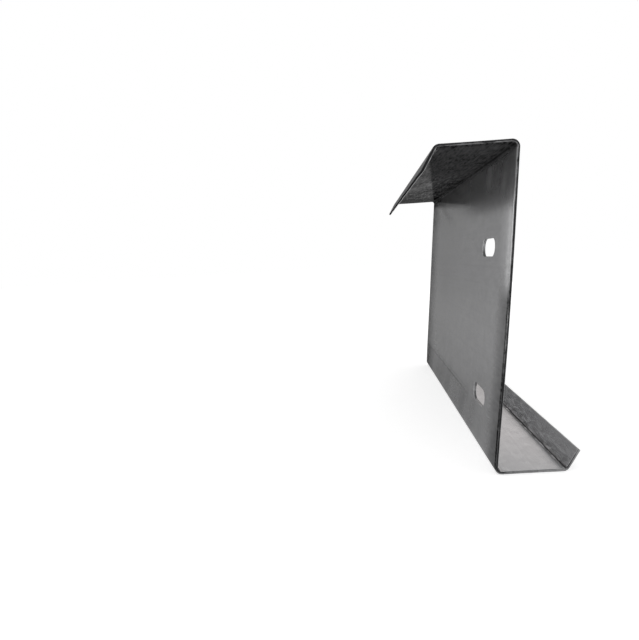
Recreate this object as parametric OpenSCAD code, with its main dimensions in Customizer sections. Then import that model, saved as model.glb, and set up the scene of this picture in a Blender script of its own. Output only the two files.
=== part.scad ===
// Z-purlin: one strip of galvanised steel, rolled into a Z with a stiffening lip on each flange.
// It stands on its bottom flange. X runs across the section, Y along the length and Z up, with
// the origin at floor level under the middle of the bounding box.

/* [Section] */
// Height over both flanges
height = 200; // [130:1:300]
// Width of the top flange, from the web's outer corner to the lip's outer corner
top_flange = 48.5; // [36:0.5:90]
// Width of the bottom flange, narrower so that a second length can lap over it
bottom_flange = 45; // [36:0.5:90]
// Length of each lip, along its outer face from the corner
lip = 15.5; // [10:0.5:25]
// Turn from flange to lip, in degrees
lip_turn = 58; // [40:1:90]
// Lean of the web over the bottom flange, in degrees from square
web_lean = 5; // [0:0.5:8]

/* [Sheet] */
// Thickness of the sheet
sheet_t = 2; // [1:0.1:3.2]
// Inside radius of every bend
bend_r = 2.5; // [1.5:0.5:5]

/* [Length] */
// Length of the piece
length = 300; // [120:5:1200]

/* [Slots] */
// Width of a bolt slot, up the web
slot_w = 12; // [9:0.5:18]
// Length of a bolt slot, along the purlin
slot_l = 30; // [20:1:44]
// Distance from the cut end to the middle of the slots
slot_from_end = 49; // [30:1:80]
// Distance of the upper slot below the top face
slot_below_top = 60; // [25:1:70]
// Distance of the lower slot above the bottom face
slot_above_bottom = 37; // [25:1:45]

/* [Hidden] */
$fn = 96;

// Largest turn that one facet of a bend takes, in degrees
facet_turn = 6;
bend_out = bend_r + sheet_t;

// What each bend takes of a face, from the sharp corner to where the flat begins
web_set = bend_out * tan(45 + web_lean / 2);
lip_set = bend_out * tan(lip_turn / 2);

// Heel, the sharp corner of web and bottom flange, seen from the middle of the web
heel = -[height * tan(web_lean) + sheet_t / cos(web_lean), height] / 2;

// The halves of the Z match but for their flanges, which puts the web this far off centre
web_x = (top_flange - bottom_flange) / 2;
slot_heights = [height - slot_below_top, slot_above_bottom];

// Length of the slot punch, well through the sheet
punch = 10 * sheet_t;

// Points of an arc about c, with radius r
function arc(c, r, from, to) =
    let (steps = ceil(abs(to - from) / facet_turn))
    [for (i = [0:steps])
        let (a = from + (to - from) * i / steps)
        c + r * [cos(a), sin(a)]];

// Half of the Z: outside round the heel to the tip of the lip, and back along the inside
function half(flange) =
    let (web_centre = heel + [web_set, bend_out])
    let (lip_centre = heel + [flange - lip_set, bend_out])
    let (tip = heel + [flange, 0] + lip * [cos(lip_turn), sin(lip_turn)])
    concat(
        arc(web_centre, bend_out, 180 - web_lean, 270),
        arc(lip_centre, bend_out, 270, 270 + lip_turn),
        [tip, tip + sheet_t * [-sin(lip_turn), cos(lip_turn)]],
        arc(lip_centre, bend_r, 270 + lip_turn, 270),
        arc(web_centre, bend_r, 270, 180 - web_lean)
    );

// The Z about the middle of its web: its upper half is the lower one turned half round
module z_section() {
    polygon(concat(half(bottom_flange), -half(top_flange)));
}

// The round-ended outline of a slot, along X
module slot_outline() {
    between = slot_l - slot_w;
    square([between, slot_w], center = true);
    for (side = [-1, 1])
        translate([side * between / 2, 0])
            circle(d = slot_w);
}

// One punched slot, square through the leaning web, by its height from the web's middle
module slot(rise) {
    rotate([0, web_lean, 0])
        translate([0, slot_from_end - length / 2, rise / cos(web_lean)])
            rotate([90, 0, 90])
                linear_extrude(punch, center = true)
                    slot_outline();
}

module z_purlin() {
    color("silver")
        translate([web_x, 0, height / 2])
            difference() {
                rotate([90, 0, 0])
                    linear_extrude(length, center = true)
                        z_section();
                for (z = slot_heights)
                    slot(z - height / 2);
            }
}

z_purlin();
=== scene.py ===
"""Looks of a cold-rolled Z-purlin: galvanised sheet with sheared ends and punched slots, on a pale floor."""

import math

import bpy
import numpy as np
from mathutils import Matrix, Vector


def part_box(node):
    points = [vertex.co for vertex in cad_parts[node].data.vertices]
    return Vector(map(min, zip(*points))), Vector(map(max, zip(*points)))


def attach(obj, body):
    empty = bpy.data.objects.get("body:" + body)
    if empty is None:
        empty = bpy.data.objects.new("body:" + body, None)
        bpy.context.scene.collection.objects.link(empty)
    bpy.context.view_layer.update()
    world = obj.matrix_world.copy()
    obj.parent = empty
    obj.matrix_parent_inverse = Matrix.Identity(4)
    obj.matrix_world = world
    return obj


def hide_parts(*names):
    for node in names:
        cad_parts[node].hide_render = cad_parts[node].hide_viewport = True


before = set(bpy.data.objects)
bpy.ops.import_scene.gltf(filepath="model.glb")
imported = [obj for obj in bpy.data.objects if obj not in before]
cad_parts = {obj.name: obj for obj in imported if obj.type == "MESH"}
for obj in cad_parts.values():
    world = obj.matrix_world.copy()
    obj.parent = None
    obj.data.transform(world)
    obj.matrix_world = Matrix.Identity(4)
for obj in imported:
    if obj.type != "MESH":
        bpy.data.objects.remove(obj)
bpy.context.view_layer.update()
LOW, HIGH = (np.array(corner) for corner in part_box("z_purlin"))

# The strip's own sizes in metres, as the part's source has them
MM = 0.001
SHEET = 2.0 * MM
BEND = 3.5 * MM  # radius of each bend at the middle of the sheet
TOP_FLANGE, BOTTOM_FLANGE, LIP = 48.5 * MM, 45.0 * MM, 15.5 * MM
LIP_TURN, WEB_TURN = 58.0, 95.0  # turns at the lips and at the leaning web, in degrees
LEAN = math.radians(WEB_TURN - 90)
SLOT_HALF, SLOT_ROUND = 15.0 * MM, 6.0 * MM
SLOT_STRAIGHT = SLOT_HALF - SLOT_ROUND
SLOT_HEIGHTS = (37.0 * MM, 140.0 * MM)
SLOT_FROM_END = 49.0 * MM

# How its cut edges came out
LEFT_ROLL, RIGHT_ROLL = 0.34 * MM, 0.18 * MM  # radius over which each side rolls over at a cut edge
LEFT_DRAW, RIGHT_DRAW = 0.02 * MM, 0.12 * MM  # how far each side draws back there at most
TORN_FROM = 0.45  # share of the sheet's thickness, from the left, past which the edge is torn

# How it is meshed
RIM = np.array([0.0, 0.08, 0.2, 0.4, 0.8]) * MM  # stations that crowd at a cut edge
FAN = 6  # stations on each side of a slot's middle line
SLOT_FRAME = SLOT_ROUND + 2.5 * MM  # from a slot's middle line to the edge of the meshed frame round it
WALL_STEPS = 7  # rows of cells through the thickness of a cut edge
RIGHT_SKIN_SHIFT = 0.6  # added to the right skin's girth in the UV map, so that its patterns differ
SECTION_STEPS = 4000  # steps round the strip in which its section is summed up
SEED = 11  # for the same uneven lines and patches on each run


# ---------------------------------------------------------------- the strip before it is bent


def section_runs():
    """Where the strip's flats and bends join, from the bottom lip's edge to the top lip's, and the headings.

    A flat is its outside length less the set-back of the bends at its ends, outside radius times the
    tangent of half the turn. A bend is its turn times the radius at the middle of the sheet."""
    outside = BEND + SHEET / 2
    half_web_turn = math.tan(math.radians(WEB_TURN / 2))
    web_set = outside * half_web_turn
    lip_set = outside * math.tan(math.radians(LIP_TURN / 2))
    lip_flat = LIP - lip_set
    lip_arc, web_arc = BEND * math.radians(LIP_TURN), BEND * math.radians(WEB_TURN)
    web_flat = (HIGH[2] - LOW[2] - SHEET) / math.cos(LEAN) - 2 * BEND * half_web_turn
    bottom, top = (flange - web_set - lip_set for flange in (BOTTOM_FLANGE, TOP_FLANGE))
    runs = [lip_flat, lip_arc, bottom, web_arc, web_flat, web_arc, top, lip_arc, lip_flat]
    joints = np.concatenate([[0.0], np.cumsum(runs)])
    up, flat, lip = 180 - WEB_TURN, 180.0, 180 + LIP_TURN
    headings = np.radians([lip, lip, flat, flat, up, up, flat, flat, lip, lip])
    return joints, headings


# Places round the strip, counted from the bottom lip's free edge at 0 to the top lip's at GIRTH
JOINTS, HEADINGS = section_runs()
LOW_LIP_END, BOTTOM_START, BOTTOM_END, WEB_START = JOINTS[1:5]
WEB_END, TOP_START, TOP_END, TOP_LIP_START, GIRTH = JOINTS[5:]
LOW_LIP_BEND, LOW_BEND = (LOW_LIP_END, BOTTOM_START), (BOTTOM_END, WEB_START)
TOP_BEND, TOP_LIP_BEND = (WEB_END, TOP_START), (TOP_END, TOP_LIP_START)
LENGTH = HIGH[1] - LOW[1]
CREASE = WEB_START + 23.8 * MM  # line that the last rolls leave low on the web
SCORE_GAP = 3.2 * MM  # from that line to a fainter one beside it


def slot_girths():
    """Place of each slot round the strip: the web's start, plus the climb over the cosine of the lean."""
    start = LOW[2] + SHEET / 2 + BEND * math.tan(math.radians(WEB_TURN / 2)) * math.cos(LEAN)
    return [WEB_START + (z - start) / math.cos(LEAN) for z in SLOT_HEIGHTS]


def eased(a, b, count, ends="both"):
    """Stations from a to b that crowd towards one end or both, on a cosine."""
    u = np.linspace(0, 1, count + 1)
    if ends == "first":
        u = 1 - np.cos(np.pi * u / 2)
    elif ends == "last":
        u = np.sin(np.pi * u / 2)
    else:
        u = (1 - np.cos(np.pi * u)) / 2
    return a + (b - a) * u


def fan(half):
    """Stations across a slot's end: half times the tangent of even steps of angle, for even facets."""
    return half * np.tan(np.radians(np.linspace(-45, 45, 2 * FAN + 1)))


def tidy_stations(parts):
    """All stations in order, with those that two neighbours share kept once."""
    s = np.sort(np.concatenate(parts))
    return s[np.concatenate([[True], np.diff(s) > 1e-7])]


def girth_stations():
    """Stations round the strip, each flat and bend with its own count, and rows that meet both slots."""
    low_slot, high_slot = slot_girths()
    parts = [
        RIM,
        eased(RIM[-1], LOW_LIP_END, 12),
        np.linspace(*LOW_LIP_BEND, 11),
        eased(BOTTOM_START, BOTTOM_END, 16),
        np.linspace(*LOW_BEND, 17),
        eased(WEB_START, low_slot - SLOT_FRAME, 12),
        low_slot + fan(SLOT_FRAME),
        np.linspace(low_slot + SLOT_FRAME, high_slot - SLOT_FRAME, 41),
        high_slot + fan(SLOT_FRAME),
        eased(high_slot + SLOT_FRAME, WEB_END, 20, "last"),
        np.linspace(*TOP_BEND, 17),
        eased(TOP_START, TOP_END, 18),
        np.linspace(*TOP_LIP_BEND, 11),
        eased(TOP_LIP_START, GIRTH - RIM[-1], 12),
        GIRTH - RIM[::-1],
    ]
    return tidy_stations(parts)


def length_stations():
    """Stations along the strip from the slotted end, crowded at both cut ends and at the slots."""
    first, last = SLOT_FROM_END - SLOT_STRAIGHT, SLOT_FROM_END + SLOT_STRAIGHT
    parts = [
        RIM,
        eased(RIM[-1], first - SLOT_FRAME, 16, "first"),
        first + fan(SLOT_FRAME)[: FAN + 1],
        np.linspace(first, last, 9),
        last + fan(SLOT_FRAME)[FAN:],
        eased(last + SLOT_FRAME, LENGTH - RIM[-1], 84, "last"),
        LENGTH - RIM[::-1],
    ]
    return tidy_stations(parts)


def slot_spine(points, place):
    """For each flat point, the nearest point on the straight middle line of the slot at this girth."""
    along = SLOT_FROM_END + np.clip(points[:, 1] - SLOT_FROM_END, -SLOT_STRAIGHT, SLOT_STRAIGHT)
    return np.stack([np.full(len(points), place), along], -1)


def slot_rings(points, frame_loop, place):
    """New points in rings between a slot's outline and the frame of cells round it, and each ring's ids.

    Ring k is the outline, at the slot's radius from its spine, plus a share of the way out to the frame.
    The frame's own loop closes the list."""
    shares = np.array([0.0, 0.04, 0.1, 0.2, 0.35, 0.6])
    outer = points[frame_loop]
    spine = slot_spine(outer, place)
    away = outer - spine
    edge = spine + SLOT_ROUND * away / np.linalg.norm(away, axis=1, keepdims=True)
    rings = edge + shares[:, None, None] * (outer - edge)
    ids = len(points) + np.arange(rings[..., 0].size).reshape(len(shares), -1)
    return rings.reshape(-1, 2), np.concatenate([ids, frame_loop[None]])


def band(loops):
    """Four-sided cells between each closed loop of ids and the next loop."""
    turned = np.roll(loops, -1, axis=1)
    return np.stack([loops[:-1], loops[1:], turned[1:], turned[:-1]], -1).reshape(-1, 4)


def flat_strip():
    """The punched strip laid flat: points (girth, length), cells, the loop of its outline and of each slot.

    Away from the slots it is a grid of stations. Each slot's frame of cells is taken out and filled
    with rings."""
    g, y = girth_stations(), length_stations()
    rows, cols = len(g), len(y)
    points = np.stack(np.meshgrid(g, y, indexing="ij"), -1).reshape(-1, 2)
    index = np.arange(rows * cols).reshape(rows, cols)
    keep = np.ones((rows - 1, cols - 1), bool)
    reach = SLOT_STRAIGHT + SLOT_FRAME
    j0, j1 = (int(np.argmin(abs(y - SLOT_FROM_END - side * reach))) for side in (-1, 1))
    ring_cells, slot_loops = [], []
    for place in slot_girths():
        i0, i1 = (int(np.argmin(abs(g - place - side * SLOT_FRAME))) for side in (-1, 1))
        keep[i0:i1, j0:j1] = False
        sides = [index[i0:i1, j0], index[i1, j0:j1], index[i1:i0:-1, j1], index[i0, j1:j0:-1]]
        rings, ids = slot_rings(points, np.concatenate(sides), place)
        points = np.concatenate([points, rings])
        ring_cells.append(band(ids))
        slot_loops.append(ids[0])
    quads = np.stack([index[:-1, :-1], index[1:, :-1], index[1:, 1:], index[:-1, 1:]], -1)[keep]
    cells = np.concatenate([quads] + ring_cells)
    outline = np.concatenate([index[:-1, 0], index[-1, :-1], index[:0:-1, -1], index[0, :0:-1]])
    used, packed = np.unique(cells, return_inverse=True)
    renumber = np.full(len(points), -1)
    renumber[used] = np.arange(len(used))
    return points[used], packed.reshape(-1, 4), renumber[outline], [renumber[loop] for loop in slot_loops]


# ---------------------------------------------------------------- bending it


def fade(x, a, b):
    """0 before a and 1 after b, or the other way round when b comes first, on a smooth S between."""
    u = np.clip((x - a) / (b - a), 0, 1)
    return u * u * (3 - 2 * u)


def ripple(along, waves, rng):
    """A smooth uneven line between about -1 and 1: a sum of sines of these wavelengths, seeded in phase."""
    phase = rng.uniform(0, 2 * np.pi, len(waves))
    return np.sin(2 * np.pi * along[..., None] / np.array(waves) + phase).sum(-1) / len(waves)


def nearest_edge(points):
    """Distance from each flat point to the nearest cut edge, and the way over it, out of the sheet."""
    s, y = points[:, 0], points[:, 1]
    gaps = [s, GIRTH - s, y, LENGTH - y]
    ways = [np.tile(way, (len(s), 1)) for way in ([-1.0, 0], [1.0, 0], [0, -1.0], [0, 1.0])]
    for place in slot_girths():
        away = points - slot_spine(points, place)
        far = np.maximum(np.linalg.norm(away, axis=1), 1e-9)
        gaps.append(far - SLOT_ROUND)
        ways.append(-away / far[:, None])
    pick = np.argmin(gaps, axis=0)
    each = np.arange(len(s))
    return np.array(gaps)[pick, each], np.array(ways)[pick, each]


def bow(points):
    """How far the rolled sheet stands off its true section, in metres along the strip's left side.

    The flanges and lips give only inwards: a low hump over each flange, and a wave that grows towards
    the lips' free edges. The web bellies slowly and has a shallow crease at its low line, a tent of 0.2 mm.
    Towards the slotted end its middle stands 1 mm to the right, on a bell of 130 mm, where the cut let the
    rolled stress go, and the last 10 mm curl back a little."""
    rng = np.random.default_rng(SEED)
    s, y = points[:, 0], points[:, 1]

    def hump(a, b):
        return np.sin(np.pi * np.clip((s - a) / (b - a), 0, 1))

    slow = 0.5 + 0.5 * ripple(y, [0.21, 0.13, 0.087], rng)
    off = 0.16 * MM * (hump(TOP_START, TOP_END) * (1 - slow) - hump(BOTTOM_START, BOTTOM_END) * slow)
    free = np.clip((LOW_LIP_END - s) / LOW_LIP_END, 0, 1)
    off -= 0.28 * MM * free**1.5 * (0.5 + 0.5 * ripple(y, [0.064, 0.041, 0.029], rng))
    free = np.clip((s - TOP_LIP_START) / (GIRTH - TOP_LIP_START), 0, 1)
    off += 0.28 * MM * free**1.5 * (0.5 + 0.5 * ripple(y, [0.071, 0.047, 0.033], rng))
    over_web = hump(WEB_START, WEB_END)
    belly = over_web * 0.07 * MM * ripple(y + 0.4 * s, [0.26, 0.17, 0.11], rng)
    tent = np.interp(s, [WEB_START, CREASE, CREASE + 55 * MM], [0.0, 1.0, 0.0]) * 0.2 * MM
    flare = over_web * 1.0 * MM * np.exp(-((y / (130 * MM)) ** 2))
    curl = over_web**0.5 * 0.2 * MM * np.clip(1 - y / (10 * MM), 0, 1) ** 2
    return off + belly + tent - flare + curl


def bend_up(points, height):
    """Bends flat points into the section and lifts each by its height off the middle of the sheet.

    The heading turns evenly round each bend. The section's line is the running sum of chords, each as
    long as its arc times sin(half turn) over (half turn), at the arc's mean heading. It is then shifted
    so that its skins fill the CAD part's width about the middle and stand on its lowest point."""
    s = points[:, 0]
    table = np.unique(np.concatenate([np.linspace(0, GIRTH, SECTION_STEPS + 1), JOINTS]))
    heading = np.interp(table, JOINTS, HEADINGS)
    turn, mean = np.diff(heading), (heading[1:] + heading[:-1]) / 2
    chord = np.diff(table) * np.sinc(turn / 2 / np.pi)
    line = np.zeros((len(table), 2))
    line[1:] = np.cumsum(chord[:, None] * np.stack([np.cos(mean), np.sin(mean)], -1), axis=0)
    half_left = np.stack([-np.sin(heading), np.cos(heading)], -1) * SHEET / 2
    skins = np.concatenate([line + half_left, line - half_left])
    corner = [(skins[:, 0].min() + skins[:, 0].max()) / 2, skins[:, 1].min()]
    shift = np.array([(LOW[0] + HIGH[0]) / 2, LOW[2]]) - corner
    here = np.interp(s, JOINTS, HEADINGS)
    left = np.stack([-np.sin(here), np.cos(here)], -1)
    base = np.stack([np.interp(s, table, line[:, 0]), np.interp(s, table, line[:, 1])], -1)
    xz = base + shift + left * height[:, None]
    return np.stack([xz[:, 0], LOW[1] + points[:, 1], xz[:, 1]], -1)


# ---------------------------------------------------------------- where the finish changes


def from_bend(s, *bends):
    """Distance round the strip to the nearest of these bends, 0 on the bend itself."""
    return np.min([np.maximum(np.maximum(start - s, s - end), 0) for start, end in bends], axis=0)


def painted_corner_shade(s, *bends):
    """Painted shade in an inside corner: a bell of 1 mm on the bend's middle, and a third as much round the
    bend.
    """
    middle = np.min([abs(s - (start + end) / 2) for start, end in bends], axis=0)
    return 0.75 * np.exp(-((middle / (1.0 * MM)) ** 2)) + 0.25 * np.exp(-from_bend(s, *bends) / (0.6 * MM))


def past_reflection_edge(points):
    """How far down the web a point lies past the edge of the painted reflection of the top flange's
    underside.

    The line is 33.4 mm below the bend at the slotted end, and a tenth of a millimetre less for each
    millimetre along."""
    return WEB_END - points[:, 0] - (33.4 * MM - 0.1 * points[:, 1])


def oil_film_and_shade(points):
    """How much oil film and painted shade the left skin keeps, from 0 to 1: the sum of patches that fade in
    and out.

    The left side carried the rolling oil. The web has a thin even film, painted shade below the crease away
    from the slotted end, smudges from 12 mm above the crease down, more darkening over the far half and in
    the lower half, a little less high up, and leaning stains under the top bend. Past 70 mm, a painted
    reflection of the top flange's dark underside runs from that bend down to a slanting line. The lower two
    thirds are darker over the last 28 mm before the slotted end, and the top has painted shade over the last
    15 mm. Under the top flange lies a heavy painted shade, heaviest at the slotted end."""
    s, y = points[:, 0], points[:, 1]
    rng = np.random.default_rng(SEED + 3)
    even = 0.08
    # painted shade below the crease, away from the slotted end
    shade_below_crease = 0.1 * fade(s, CREASE + 2 * MM, CREASE - 1 * MM) * fade(y, 40 * MM, 110 * MM)
    smudges = np.clip(0.3 + 1.1 * ripple(y + 0.6 * s, [0.093, 0.052, 0.031], rng), 0, 1)
    smudges *= 0.1 * fade(s, CREASE + 12 * MM, CREASE - 6 * MM)
    far_half = 0.16 * fade(y, 90 * MM, LENGTH - 40 * MM) + 0.42 * fade(y, LENGTH - 60 * MM, LENGTH)
    lower = 0.05 * fade(s, WEB_START + 75 * MM, WEB_START + 35 * MM)
    upper = -0.035 * fade(s, WEB_START + 110 * MM, WEB_START + 150 * MM)
    stains = np.clip(0.2 + 1.3 * ripple(y - 2.5 * s, [0.19, 0.11, 0.071, 0.043], rng), 0, 1)
    stains *= 0.16 * fade(s, WEB_END - 34 * MM, WEB_END - 20 * MM) * fade(y, 90 * MM, 150 * MM)
    dark_end = 0.38 * fade(y, 28 * MM, 2 * MM) + 0.4 * fade(y, 2.4 * MM, 0.4 * MM)
    dark_end *= fade(s, WEB_START + 140 * MM, WEB_START + 100 * MM)
    web = fade(s, BOTTOM_END, WEB_START)
    film_and_shade = even + shade_below_crease + web * (smudges + far_half + lower + upper + stains + dark_end)

    # painted shade over the last 15 mm before the slotted end, from 32 mm below the top bend upwards
    shade_under_top_bend = 0.3 * fade(y, 15 * MM, 4 * MM) * fade(s, WEB_END - 32 * MM, WEB_END - 20 * MM)
    # painted reflection of the top flange's dark underside, on the web past 70 mm from the slotted end
    underside_reflection = 0.48 * fade(past_reflection_edge(points), 3 * MM, -2 * MM) * fade(y, 70 * MM, 190 * MM)
    underside_reflection *= fade(s, WEB_END + 1 * MM, WEB_END - 1 * MM)
    # painted shade under the top flange, darkest at the slotted end
    flange_underside_shade = 0.73 + 0.04 * fade(y, 5 * MM, 35 * MM) - 0.09 * fade(y, 80 * MM, 140 * MM)
    flange_underside_shade += 0.12 * fade(y, 7 * MM, 2 * MM)
    under_flange = fade(s, WEB_END - 1 * MM, WEB_END + 2 * MM) * fade(s, TOP_LIP_START + 2 * MM, TOP_END)
    return film_and_shade + (shade_under_top_bend + underside_reflection) * (1 - under_flange) + flange_underside_shade * under_flange


def right_film_and_shade(points):
    """How much film and painted shade the right skin keeps, from 0 to 1: nearly no film on the web, a grey
    one outside the top lip, and painted shade in the bottom lip's inside bend, where the lip meets its bend
    and where that bend meets the flange."""
    s = points[:, 0]
    web = fade(s, BOTTOM_END, WEB_START)
    # painted shade in the bottom lip's inside bend
    bend_shade = 0.1 * fade(s, LOW_LIP_END - 5 * MM, LOW_LIP_END) * fade(s, BOTTOM_START, LOW_LIP_END)
    on_bend = fade(s, BOTTOM_START - 2 * MM, BOTTOM_START - 1 * MM)
    bend_shade += 0.4 * on_bend * fade(s, BOTTOM_START + 0.6 * MM, BOTTOM_START)
    return 0.04 * web + bend_shade + 0.62 * fade(s, TOP_END, TOP_LIP_START)


def web_smears(points):
    """How much dry dust dulls the left skin's mirror, from 0 to 1: a little, and upright smears that a hand
    left, over the web's top 45 mm, fading out 150 mm from the slotted end."""
    s, y = points[:, 0], points[:, 1]
    rng = np.random.default_rng(SEED + 2)
    rise = 0.6 + 0.4 * ripple(s - 0.3 * y, [0.043, 0.027], rng)
    smear = rise * np.clip(0.5 + 0.7 * ripple(y + 0.25 * s, [0.047, 0.029, 0.019], rng), 0, 1)
    high = fade(s, WEB_END - 45 * MM, WEB_END - 15 * MM) * fade(s, WEB_END, WEB_END - 2 * MM)
    return (0.07 + 0.36 * smear) * high * fade(y, 150 * MM, 35 * MM)


def lip_dust(points):
    """Dust on the right skin: all over the top lip's outer face."""
    return 0.9 * fade(points[:, 0], TOP_END, TOP_LIP_START)


def top_grit(points):
    """Grit on the left skin: on the top lip's inner face, dying away over 12 mm from its bend, and a trace
    under the top flange, past its first 80 mm."""
    s, y = points[:, 0], points[:, 1]
    lip = 0.8 * fade(s, TOP_END - 1 * MM, TOP_END + 1 * MM) * np.exp(-from_bend(s, TOP_LIP_BEND) / (12 * MM))
    under = fade(s, TOP_START, TOP_START + 6 * MM) * fade(s, TOP_END + 1 * MM, TOP_END - 1 * MM)
    return lip + 0.17 * under * fade(y, 80 * MM, 140 * MM)


def bottom_grit(points):
    """Grit on the right skin: on the bottom lip's inner face, dying away from its bend, over 4 mm near the
    slotted end and over 8 mm past 84 mm from it."""
    s, y = points[:, 0], points[:, 1]
    reach = 4 * MM + 4 * MM * fade(y, 58 * MM, 84 * MM)
    lip = fade(s, BOTTOM_START + 1 * MM, BOTTOM_START - 1 * MM)
    return lip * np.exp(-from_bend(s, LOW_LIP_BEND) / reach)


def painted_end_highlight(points):
    """Painted highlight on the upper web at the slotted end: strongly over the last 12 mm and faintly over
    the last 26 mm, fading up and down."""
    y = points[:, 1]
    climb = (points[:, 0] - WEB_START) / (WEB_END - WEB_START)
    faint = 0.3 * fade(y, 26 * MM, 10 * MM)
    strong = 0.7 * fade(y, 12 * MM, 4 * MM) * (0.7 + 0.3 * fade(y, 0, 3 * MM))
    return (faint + strong) * fade(climb, 0.53, 0.62) * fade(climb, 0.9, 0.8)


def in_slots(points):
    """1 on the walls of the two slots, which lie within a slot's frame of its spine, and 0 elsewhere."""
    away = [np.linalg.norm(points - slot_spine(points, place), axis=1) for place in slot_girths()]
    return (np.min(away, axis=0) < SLOT_FRAME).astype(float)


def edge_grime(points):
    """How dark each stretch of cut edge has gone, in straight lines between the places that are listed. A
    slot's wall is lightly soiled all round, and dark along its lower side, where dust settles."""
    grime = (
        (0.0, 0.43),
        (LOW_LIP_END, 0.65),
        (BOTTOM_START, 0.46),
        (BOTTOM_END, 0.65),
        (WEB_START, 0.78),
        (WEB_START + 40 * MM, 0.82),
        (WEB_START + 55 * MM, 0.9),
        (WEB_START + 68 * MM, 0.7),
        (WEB_START + 78 * MM, 0.42),
        (WEB_START + 96 * MM, 0.42),
        (WEB_START + 106 * MM, 0.78),
        (WEB_START + 150 * MM, 0.78),
        (WEB_START + 162 * MM, 0.58),
        (TOP_START, 0.6),
        (TOP_END, 0.62),
        (TOP_LIP_START, 0.85),
        (GIRTH - 2 * MM, 0.9),
        (GIRTH, 1.1),
    )
    dark = np.interp(points[:, 0], *zip(*grime))
    above = points[:, 0] - np.array(slot_girths())[:, None]
    nearest = abs(above).argmin(0)[None]
    settled = fade(np.take_along_axis(above, nearest, 0)[0], 2 * MM, -4 * MM)
    return dark + (0.25 + 0.5 * settled - dark) * in_slots(points)


def burnished_share(points):
    """Share of a cut edge's thickness that the tool rubbed bright: a third of a sheared end, more along the
    bottom flange and its lip, and the whole wall of a punched slot."""
    s = points[:, 0]
    low = fade(s, BOTTOM_END, BOTTOM_END - 4 * MM) * (0.4 + 0.6 * fade(s, LOW_LIP_END, BOTTOM_START))
    return 0.33 + 0.9 * low + 0.9 * in_slots(points)


# ---------------------------------------------------------------- the whole piece


def rolled_over(gap, roll):
    """Height of a skin off the middle of the sheet: half the sheet, less a quarter round of radius roll at
    a cut edge."""
    near = np.clip(1 - gap / roll, 0, 1)
    return SHEET / 2 - roll * (1 - np.sqrt(1 - near**2))


def drawn_back(points, gap, draw):
    """How far a skin draws back from a cut edge: unevenly, by at most draw, dying away over 0.6 mm."""
    rng = np.random.default_rng(SEED + 1)
    uneven = 0.75 + 0.25 * ripple(points @ [1.0, 1.0], [0.031, 0.019, 0.011], rng)
    return draw * uneven * np.exp(-gap / (0.6 * MM))


def skins_and_walls(points, cells, outline, slots):
    """Two skins over the flat strip and a wall round its outline and each slot, bent up together.

    A skin stands half the sheet off the middle and rolls over near a cut edge, more on the left, where the
    shear and punch come from. A wall joins the skins in even steps, and draws back evenly from the edge
    where the metal tore. Gives coordinates, faces, places on the flat strip and depths below the left skin
    as shares of the sheet, with the walls after the skins."""
    gap, out = nearest_edge(points)
    stand = bow(points)
    lifts = [rolled_over(gap, LEFT_ROLL), -rolled_over(gap, RIGHT_ROLL)]
    backs = [drawn_back(points, gap, LEFT_DRAW), drawn_back(points, gap, RIGHT_DRAW)]
    count = len(points)
    coords = [bend_up(points - out * back[:, None], lift + stand) for lift, back in zip(lifts, backs)]
    places = [points, points + [RIGHT_SKIN_SHIFT, 0.0]]
    depths = [np.zeros(count), np.ones(count)]
    faces = [cells, cells[:, ::-1] + count]
    share = np.linspace(0, 1, WALL_STEPS + 1)[1:-1, None]
    torn = np.clip((share - TORN_FROM) / (1 - TORN_FROM), 0, 1)
    first = 2 * count
    for loop in [outline] + slots:
        back = backs[0][loop] * (1 - torn) + backs[1][loop] * torn
        height = lifts[0][loop] + (lifts[1][loop] - lifts[0][loop]) * share + stand[loop]
        flat = (points[loop] - out[loop] * back[..., None]).reshape(-1, 2)
        ids = first + np.arange(len(flat)).reshape(WALL_STEPS - 1, -1)
        # each cell starts at its corner on the second loop, which sets the diagonal that it is split along
        wall = np.roll(band(np.concatenate([loop[None], ids, loop[None] + count])), -1, axis=1)
        faces.append(wall if loop is outline else wall[:, ::-1])
        coords.append(bend_up(flat, height.ravel()))
        places.append(flat)
        depths.append(np.repeat(share, len(loop), axis=1).ravel())
        first += len(flat)
    return np.concatenate(coords), np.concatenate(faces), np.concatenate(places), np.concatenate(depths)


def finish_marks(points, on_walls, depths):
    """What the materials read at each point: a value for the left skin, the right skin and the walls."""
    s = points[:, 0]
    bare, bare_walls = np.zeros(len(points)), np.zeros(len(on_walls))
    inside_left, inside_right = (TOP_BEND, TOP_LIP_BEND), (LOW_LIP_BEND, LOW_BEND)
    # painted highlight along the outside of the bends on each skin
    left_bend_highlight = np.exp(-from_bend(s, *inside_right) / (1.4 * MM))
    right_bend_highlight = np.exp(-from_bend(s, *inside_left) / (1.4 * MM))
    # Some of these marks carry painted shade in the inside corners, on the web and under the top flange,
    # painted highlights on the bends' outside and near the slotted end, and a painted reflection on the web
    marks = {
        "corner_shade": (painted_corner_shade(s, *inside_left), painted_corner_shade(s, *inside_right), bare_walls),
        "bend_highlight": (left_bend_highlight, right_bend_highlight, bare_walls),
        "film_and_shade": (oil_film_and_shade(points), right_film_and_shade(points), edge_grime(on_walls)),
        "dust": (web_smears(points), lip_dust(points), bare_walls),
        "grit": (top_grit(points), bottom_grit(points), bare_walls),
        "end_highlight": (painted_end_highlight(points), bare, bare_walls),
        "burnish": (bare, bare, burnished_share(on_walls)),
    }
    return {"depth": depths} | {name: np.concatenate(values) for name, values in marks.items()}


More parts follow.
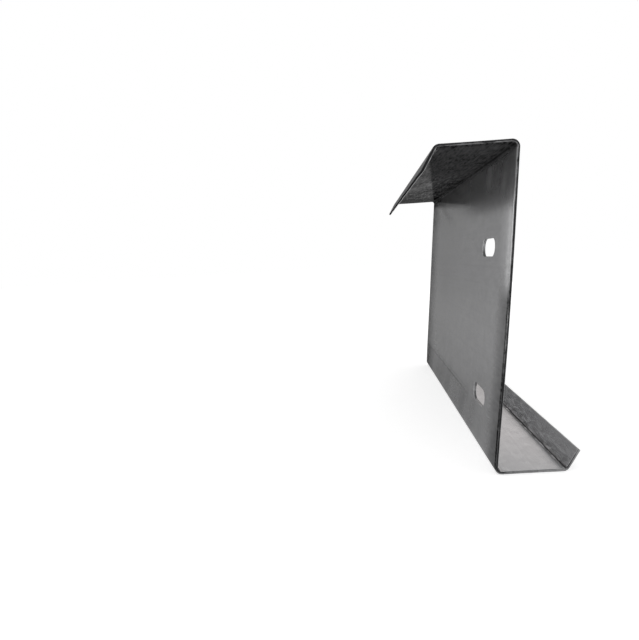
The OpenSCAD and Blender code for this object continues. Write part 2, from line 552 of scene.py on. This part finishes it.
def rolled_sheet():
    """The purlin as one closed mesh, with the flat strip as its UV map and the marks as its attributes."""
    points, cells, outline, slots = flat_strip()
    coords, faces, places, depths = skins_and_walls(points, cells, outline, slots)
    mesh = bpy.data.meshes.new("rolled_purlin")
    mesh.from_pydata(coords, [], faces)
    mesh.polygons.foreach_set("use_smooth", np.ones(len(faces), bool))
    walls = np.arange(len(faces)) >= 2 * len(cells)
    mesh.polygons.foreach_set("material_index", walls.astype(np.int32))
    corner = np.zeros(len(mesh.loops), np.int32)
    mesh.loops.foreach_get("vertex_index", corner)
    strip = mesh.uv_layers.new(name="flat_strip")
    strip.uv.foreach_set("vector", places[corner][:, ::-1].astype(np.float32).ravel())
    for name, value in finish_marks(points, places[2 * len(points) :], depths).items():
        mark = mesh.attributes.new(name, "FLOAT", "POINT")
        mark.data.foreach_set("value", value.astype(np.float32))
    mesh.validate()
    piece = bpy.data.objects.new("rolled_purlin", mesh)
    bpy.context.scene.collection.objects.link(piece)
    return piece


# ---------------------------------------------------------------- finishes

MIX, MATH, RANGE = "ShaderNodeMix", "ShaderNodeMath", "ShaderNodeMapRange"
NOISE, MARK = "ShaderNodeTexNoise", "ShaderNodeAttribute"
LEVELS = ("From Min", "From Max", "To Min", "To Max")


def linear(code):
    """An sRGB hex colour as opaque linear light: the inverse of the sRGB curve."""
    c = np.array([int(code[i : i + 2], 16) for i in (1, 3, 5)]) / 255
    c = np.where(c <= 0.04045, c / 12.92, ((c + 0.055) / 1.055) ** 2.4)
    return (*map(float, c), 1.0)


def add(tree, kind, inputs=None, give=0, **settings):
    """One node with its settings and links. An input is a value or another node's output."""
    made = tree.nodes.new(kind)
    for name, value in settings.items():
        setattr(made, name, value)
    for key, value in (inputs or {}).items():
        if isinstance(value, bpy.types.NodeSocket):
            tree.links.new(value, made.inputs[key])
        else:
            made.inputs[key].default_value = value
    return made.outputs[give] if made.outputs else made


def new_finish(name):
    """An empty material and its node tree."""
    finish = bpy.data.materials.new(name)
    finish.use_nodes = True
    finish.node_tree.nodes.clear()
    return finish, finish.node_tree


def sheet_patterns(tree, strip):
    """The uneven patterns of the skin on the flat strip: how far one runs along it and round it, then its
    detail, roughness and swirl."""
    patterns = {
        # what the rolls rub along the strip: real lines are some 0.3 mm wide, drawn at 1.2 mm to show
        "streak": (200 * MM, 1.2 * MM, 3.0, 0.5, 0.0),
        # film thick and thin
        "patch": (30 * MM, 30 * MM, 5.0, 0.62, 0.6),
        # oil drops drawn out along the strip as they dried
        "drops": (8 * MM, 1.9 * MM, 2.0, 0.6, 0.5),
        # grit left in the lips' corners: real grains are under 1 mm, drawn as clusters to show
        "specks": (10 * MM, 3 * MM, 3.0, 0.55, 0.5),
        # its level lines are the handling scratches
        "swirl": (55 * MM, 55 * MM, 1.0, 0.5, 0.0),
        # the zinc's fine dents
        "dents": (3.5 * MM, 3.5 * MM, 2.0, 0.5, 0.0),
    }
    noise = {}
    for name, (along, round_it, detail, rough, swirl) in patterns.items():
        place = add(tree, "ShaderNodeMapping", {"Vector": strip, "Scale": (1 / along, 1 / round_it, 1)})
        inputs = {"Vector": place, "Scale": 1.0, "Detail": detail, "Roughness": rough, "Distortion": swirl}
        noise[name] = add(tree, NOISE, inputs, noise_dimensions="2D")
    return noise


def spangle(tree, strip):
    """Zinc crystals about 4 mm across, each a slightly different grey."""
    inputs = {"Vector": strip, "Scale": 1 / (4 * MM)}
    crystal = add(tree, "ShaderNodeTexVoronoi", inputs, "Color", voronoi_dimensions="2D")
    flake = add(tree, "ShaderNodeSeparateColor", {"Color": crystal})
    greys = {"Factor": flake, "A": linear("#A7A7A8"), "B": linear("#AEAEAF")}
    return add(tree, MIX, greys, "Result", data_type="RGBA")


def handling_scratches(tree, swirl):
    """Thin arcs, a third of a millimetre wide, along one level of the swirl: 1 on that level, 0 off it."""
    off = add(tree, MATH, {0: swirl, 1: 0.47}, operation="SUBTRACT")
    off = add(tree, MATH, {0: off}, operation="ABSOLUTE")
    inputs = {"Value": off, "From Min": 0.001, "From Max": 0.005, "To Min": 1.0, "To Max": 0.0}
    return add(tree, RANGE, inputs)


def roll_scores(tree, strip):
    """The two lines that the last rolls' edge leaves low on the web, rubbed out towards the slotted end."""
    place = add(tree, "ShaderNodeSeparateXYZ", {"Vector": strip}).node.outputs
    lasting = add(tree, RANGE, {"Value": place["X"], "From Min": 50 * MM, "From Max": 130 * MM})
    scores = []
    for offset in (0.0, SCORE_GAP):
        away = add(tree, MATH, {0: place["Y"], 1: float(CREASE + offset)}, operation="SUBTRACT")
        away = add(tree, MATH, {0: away}, operation="ABSOLUTE")
        inputs = {"Value": away, "From Min": 0.3 * MM, "From Max": 1.1 * MM, "To Min": 1.0, "To Max": 0.0}
        scores.append(add(tree, MATH, {0: add(tree, RANGE, inputs), 1: lasting}, operation="MULTIPLY"))
    return scores


def galvanised_skin():
    """Hot-dip zinc on cold-rolled coil: dull grey metal that turns into a mirror at a low angle, with a
    faint spangle, roll streaks, oil film, dry dust, painted highlights on the bends and near the slotted
    end, painted shade in the corners, on the web and under the top flange, and a painted reflection on the
    web."""
    finish, tree = new_finish("galvanised_skin")
    strip = add(tree, "ShaderNodeUVMap", uv_map="flat_strip")
    marks = ("film_and_shade", "dust", "corner_shade", "bend_highlight", "grit", "end_highlight")
    marks = [add(tree, MARK, give="Fac", attribute_name=name) for name in marks]
    film_and_shade, dust, corner_shade, bend_highlight, grit, end_highlight = marks
    noise = sheet_patterns(tree, strip)
    zinc = spangle(tree, strip)
    scratch = handling_scratches(tree, noise["swirl"])
    score, faint_score = roll_scores(tree, strip)

    # Oil film and painted shade in patches, with dried drops in the thick of it
    for name, *levels in (("patch", 0.3, 0.7, 1.07, 0.93), ("drops", 0.32, 0.68, 1.12, 0.86)):
        uneven = add(tree, RANGE, {"Value": noise[name]} | dict(zip(LEVELS, levels)))
        film_and_shade = add(tree, MATH, {0: film_and_shade, 1: uneven}, operation="MULTIPLY")

    # Coats on the zinc, first to last: where it lies, the pattern that breaks it up, the pattern's two
    # levels, the coat's share at each, and its colour
    coats = (
        (1.0, "streak", 0.35, 0.7, 0.08, 0.0, "#5A5A5B"),  # roll streaks
        (bend_highlight, "patch", 0.3, 0.7, 0.4, 0.3, "#C6C6C7"),  # painted highlight on the bends' outside
        (film_and_shade, "streak", 0.3, 0.7, 1.03, 0.97, "#161617"),  # oil gone dark, and the painted shade and painted reflection that the film mark carries
        (score, "patch", 0.35, 0.6, 0.24, 0.6, "#303031"),
        (faint_score, "patch", 0.35, 0.6, 0.12, 0.3, "#303031"),
        (grit, "specks", 0.52, 0.66, 0.0, 0.42, "#2A2A2B"),  # dark grains
        (grit, "specks", 0.5, 0.36, 0.0, 0.95, "#DEDEDF"),  # pale grains
        (corner_shade, "streak", 0.3, 0.55, 0.55, 0.85, "#141415"),  # painted shade in the inside corners
        (end_highlight, "dents", 0.3, 0.7, 0.92, 0.66, "#DEDEDF"),  # painted highlight near the slotted end
        (scratch, "drops", 0.5, 0.6, 0.0, 0.25, "#6E6E6F"),
    )
    for where, name, *levels, colour in coats:
        broken_up = add(tree, RANGE, {"Value": noise[name]} | dict(zip(LEVELS, levels)))
        share = add(tree, MATH, {0: where, 1: broken_up}, operation="MULTIPLY")
        zinc = add(tree, MIX, {"Factor": share, "A": zinc, "B": linear(colour)}, "Result", data_type="RGBA")

    # Film and dust take the mirror away, and film fills the fine grain of the metal; where the film mark is
    # painted shade, the lost mirror belongs to that painted shade. At the lowest angles the oxide keeps the
    # mirror well under white, which the tint of 0.4 gives
    shine = {"Value": film_and_shade, "From Min": 0.0, "From Max": 0.95, "To Min": 0.83, "To Max": 0.12}
    dulled = add(tree, RANGE, {"Value": dust, "To Min": 1.0, "To Max": 0.15})
    grain = {"Value": film_and_shade, "From Min": 0.1, "From Max": 0.7, "To Min": 0.2, "To Max": 0.12}
    dents = {"Height": noise["dents"], "Strength": 0.1, "Distance": 0.01 * MM}
    skin = {
        "Base Color": zinc,
        "Metallic": add(tree, MATH, {0: add(tree, RANGE, shine), 1: dulled}, operation="MULTIPLY"),
        "Roughness": add(tree, RANGE, grain),
        "Normal": add(tree, "ShaderNodeBump", dents),
        "Specular IOR Level": 0.0,
        "Specular Tint": (0.4, 0.4, 0.4, 1.0),
    }
    add(tree, "ShaderNodeOutputMaterial", {"Surface": add(tree, "ShaderNodeBsdfPrincipled", skin)})
    return finish


def sheared_edge():
    """Bare steel where the strip was sheared, slit and punched: a bright rubbed band over a torn one."""
    finish, tree = new_finish("sheared_edge")
    place = add(tree, "ShaderNodeTexCoord", give="Object")
    marks = ("depth", "burnish", "film_and_shade")
    depth, burnish, grime = (add(tree, MARK, give="Fac", attribute_name=name) for name in marks)

    # Tearing: real grains are some 0.3 mm across, drawn at 1.5 mm so that they show
    torn = add(tree, NOISE, {"Vector": place, "Scale": 1 / (1.5 * MM), "Detail": 3.0})
    torn = add(tree, RANGE, {"Value": torn, "From Min": 0.35, "From Max": 0.65})
    dark = {"Factor": torn, "A": linear("#2A2A2B"), "B": linear("#4E4E4F")}
    bright = {"Factor": torn, "A": linear("#969697"), "B": linear("#BEBEBF")}
    dark, bright = (add(tree, MIX, greys, "Result", data_type="RGBA") for greys in (dark, bright))

    # The rubbed band's lower limit wanders every 7 mm or so
    wander = add(tree, NOISE, {"Vector": place, "Scale": 1 / (7 * MM), "Detail": 2.0})
    inputs = {"Value": wander, "From Min": 0.3, "From Max": 0.7, "To Min": -0.25, "To Max": 0.25}
    split = add(tree, MATH, {0: depth, 1: burnish}, operation="SUBTRACT")
    split = add(tree, MATH, {0: split, 1: add(tree, RANGE, inputs)}, operation="ADD")
    split = add(tree, RANGE, {"Value": split, "From Min": -0.08, "From Max": 0.08})
    steel = add(tree, MIX, {"Factor": split, "A": bright, "B": dark}, "Result", data_type="RGBA")

    # Grime over it, which is no mirror
    soiled = {"Factor": grime, "A": steel, "B": linear("#2A2A2B")}
    shine = {"Value": grime, "From Min": 0.4, "From Max": 1.1, "To Min": 1.0, "To Max": 0.0}
    edge = {
        "Base Color": add(tree, MIX, soiled, "Result", data_type="RGBA"),
        "Metallic": add(tree, RANGE, shine),
        "Roughness": 0.4,
        "Specular IOR Level": 0.0,
    }
    add(tree, "ShaderNodeOutputMaterial", {"Surface": add(tree, "ShaderNodeBsdfPrincipled", edge)})
    return finish


# ---------------------------------------------------------------- studio


def white_to_eye(tree, diffuse, shown):
    """Strength that is `shown` to camera, mirror and glass rays, and `diffuse` where it only lights."""
    rays = add(tree, "ShaderNodeLightPath").node.outputs
    seen = add(tree, MATH, {0: rays["Is Camera Ray"], 1: rays["Is Glossy Ray"]}, operation="MAXIMUM")
    seen = add(tree, MATH, {0: seen, 1: rays["Is Transmission Ray"]}, operation="MAXIMUM")
    return add(tree, RANGE, {"Value": seen, "To Min": diffuse, "To Max": shown})


def studio_floor():
    """A plain pale floor, matt, with part of its white shown straight to the eye, so that the shadow on it
    stays pale."""
    mesh = bpy.data.meshes.new("studio_floor")
    half = 6.0
    level = float(LOW[2]) - 0.2 * MM  # clear of the bottom flange, so that the two faces don't fight
    corners = [(-half, -half, level), (half, -half, level), (half, half, level), (-half, half, level)]
    mesh.from_pydata(corners, [], [(0, 1, 2, 3)])
    floor = bpy.data.objects.new("studio_floor", mesh)
    bpy.context.scene.collection.objects.link(floor)
    finish, tree = new_finish("pale_floor")
    matt = add(tree, "ShaderNodeBsdfDiffuse", {"Color": linear("#E4E4E4")})
    glow = add(tree, "ShaderNodeEmission", {"Strength": white_to_eye(tree, 0.0, 0.6)})
    both = add(tree, "ShaderNodeAddShader", {0: matt, 1: glow})
    add(tree, "ShaderNodeOutputMaterial", {"Surface": both})
    mesh.materials.append(finish)


def studio_air():
    """The white surround: full white to the eye and to the metal, less where it only lights."""
    world = bpy.data.worlds.new("studio_air")
    bpy.context.scene.world = world
    world.use_nodes = True
    tree = world.node_tree
    tree.nodes.clear()
    white = {"Color": linear("#FFFFFF"), "Strength": white_to_eye(tree, 0.55, 1.0)}
    add(tree, "ShaderNodeOutputWorld", {"Surface": add(tree, "ShaderNodeBackground", white)})


def facing(place, yaw, pitch, roll):
    """Where a lamp or camera stands: it looks level along +Y, and is then rolled, pitched and turned."""
    turn = Matrix.Rotation(yaw, 4, "Z") @ Matrix.Rotation(pitch, 4, "X") @ Matrix.Rotation(roll, 4, "Y")
    return Matrix.Translation(place) @ turn @ Matrix.Rotation(math.pi / 2, 4, "X")


def soft_box(name, place, size, watts, tint):
    """A soft box at `place` that faces the middle of the part, unseen by the camera itself."""
    lamp = bpy.data.lights.new(name, "AREA")
    lamp.shape, lamp.size, lamp.size_y = "RECTANGLE", size[0], size[1]
    lamp.energy, lamp.color = watts, linear(tint)[:3]
    box = bpy.data.objects.new(name, lamp)
    bpy.context.scene.collection.objects.link(box)
    away = (LOW + HIGH) / 2 - np.array(place)
    yaw, pitch = math.atan2(-away[0], away[1]), math.atan2(away[2], math.hypot(away[0], away[1]))
    box.matrix_world = facing(place, yaw, pitch, 0.0)
    box.visible_camera = False


def camera():
    """Close to the slotted end, left of the web and above its middle, looking slightly down."""
    data = bpy.data.cameras.new("camera")
    data.lens, data.sensor_width = 26.5, 36.0
    data.shift_x = -0.05
    data.clip_start, data.clip_end = 0.01, 50.0
    eye = bpy.data.objects.new("camera", data)
    bpy.context.scene.collection.objects.link(eye)
    yaw, pitch, roll = (math.radians(angle) for angle in (1.47, -7.7, 3.68))
    eye.matrix_world = facing((-0.0833, -0.4283, 0.1401), yaw, pitch, roll)
    bpy.context.scene.camera = eye


# Each soft box: its name, place, width and height, power in watts and colour
SOFT_BOXES = (
    ("back_box", (0.52, 1.4, 0.46), (0.9, 0.46), 1.5, "#FFF6F2"),
    ("low_box", (0.7, 1.32, 0.15), (0.5, 0.24), 0.34, "#FFFFFF"),
    ("left_box", (-1.2, 0.6, 0.6), (0.8, 0.9), 1.0, "#FFFFFF"),
    ("top_box", (-0.2, -0.6, 1.5), (1.2, 1.2), 3.0, "#FFFFFF"),
)

camera()
studio_air()
studio_floor()
for settings in SOFT_BOXES:
    soft_box(*settings)

purlin = rolled_sheet()
purlin.data.materials.append(galvanised_skin())
purlin.data.materials.append(sheared_edge())
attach(purlin, "root")
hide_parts("z_purlin")

bpy.context.scene.view_settings.view_transform = "Standard"
bpy.context.view_layer.update()
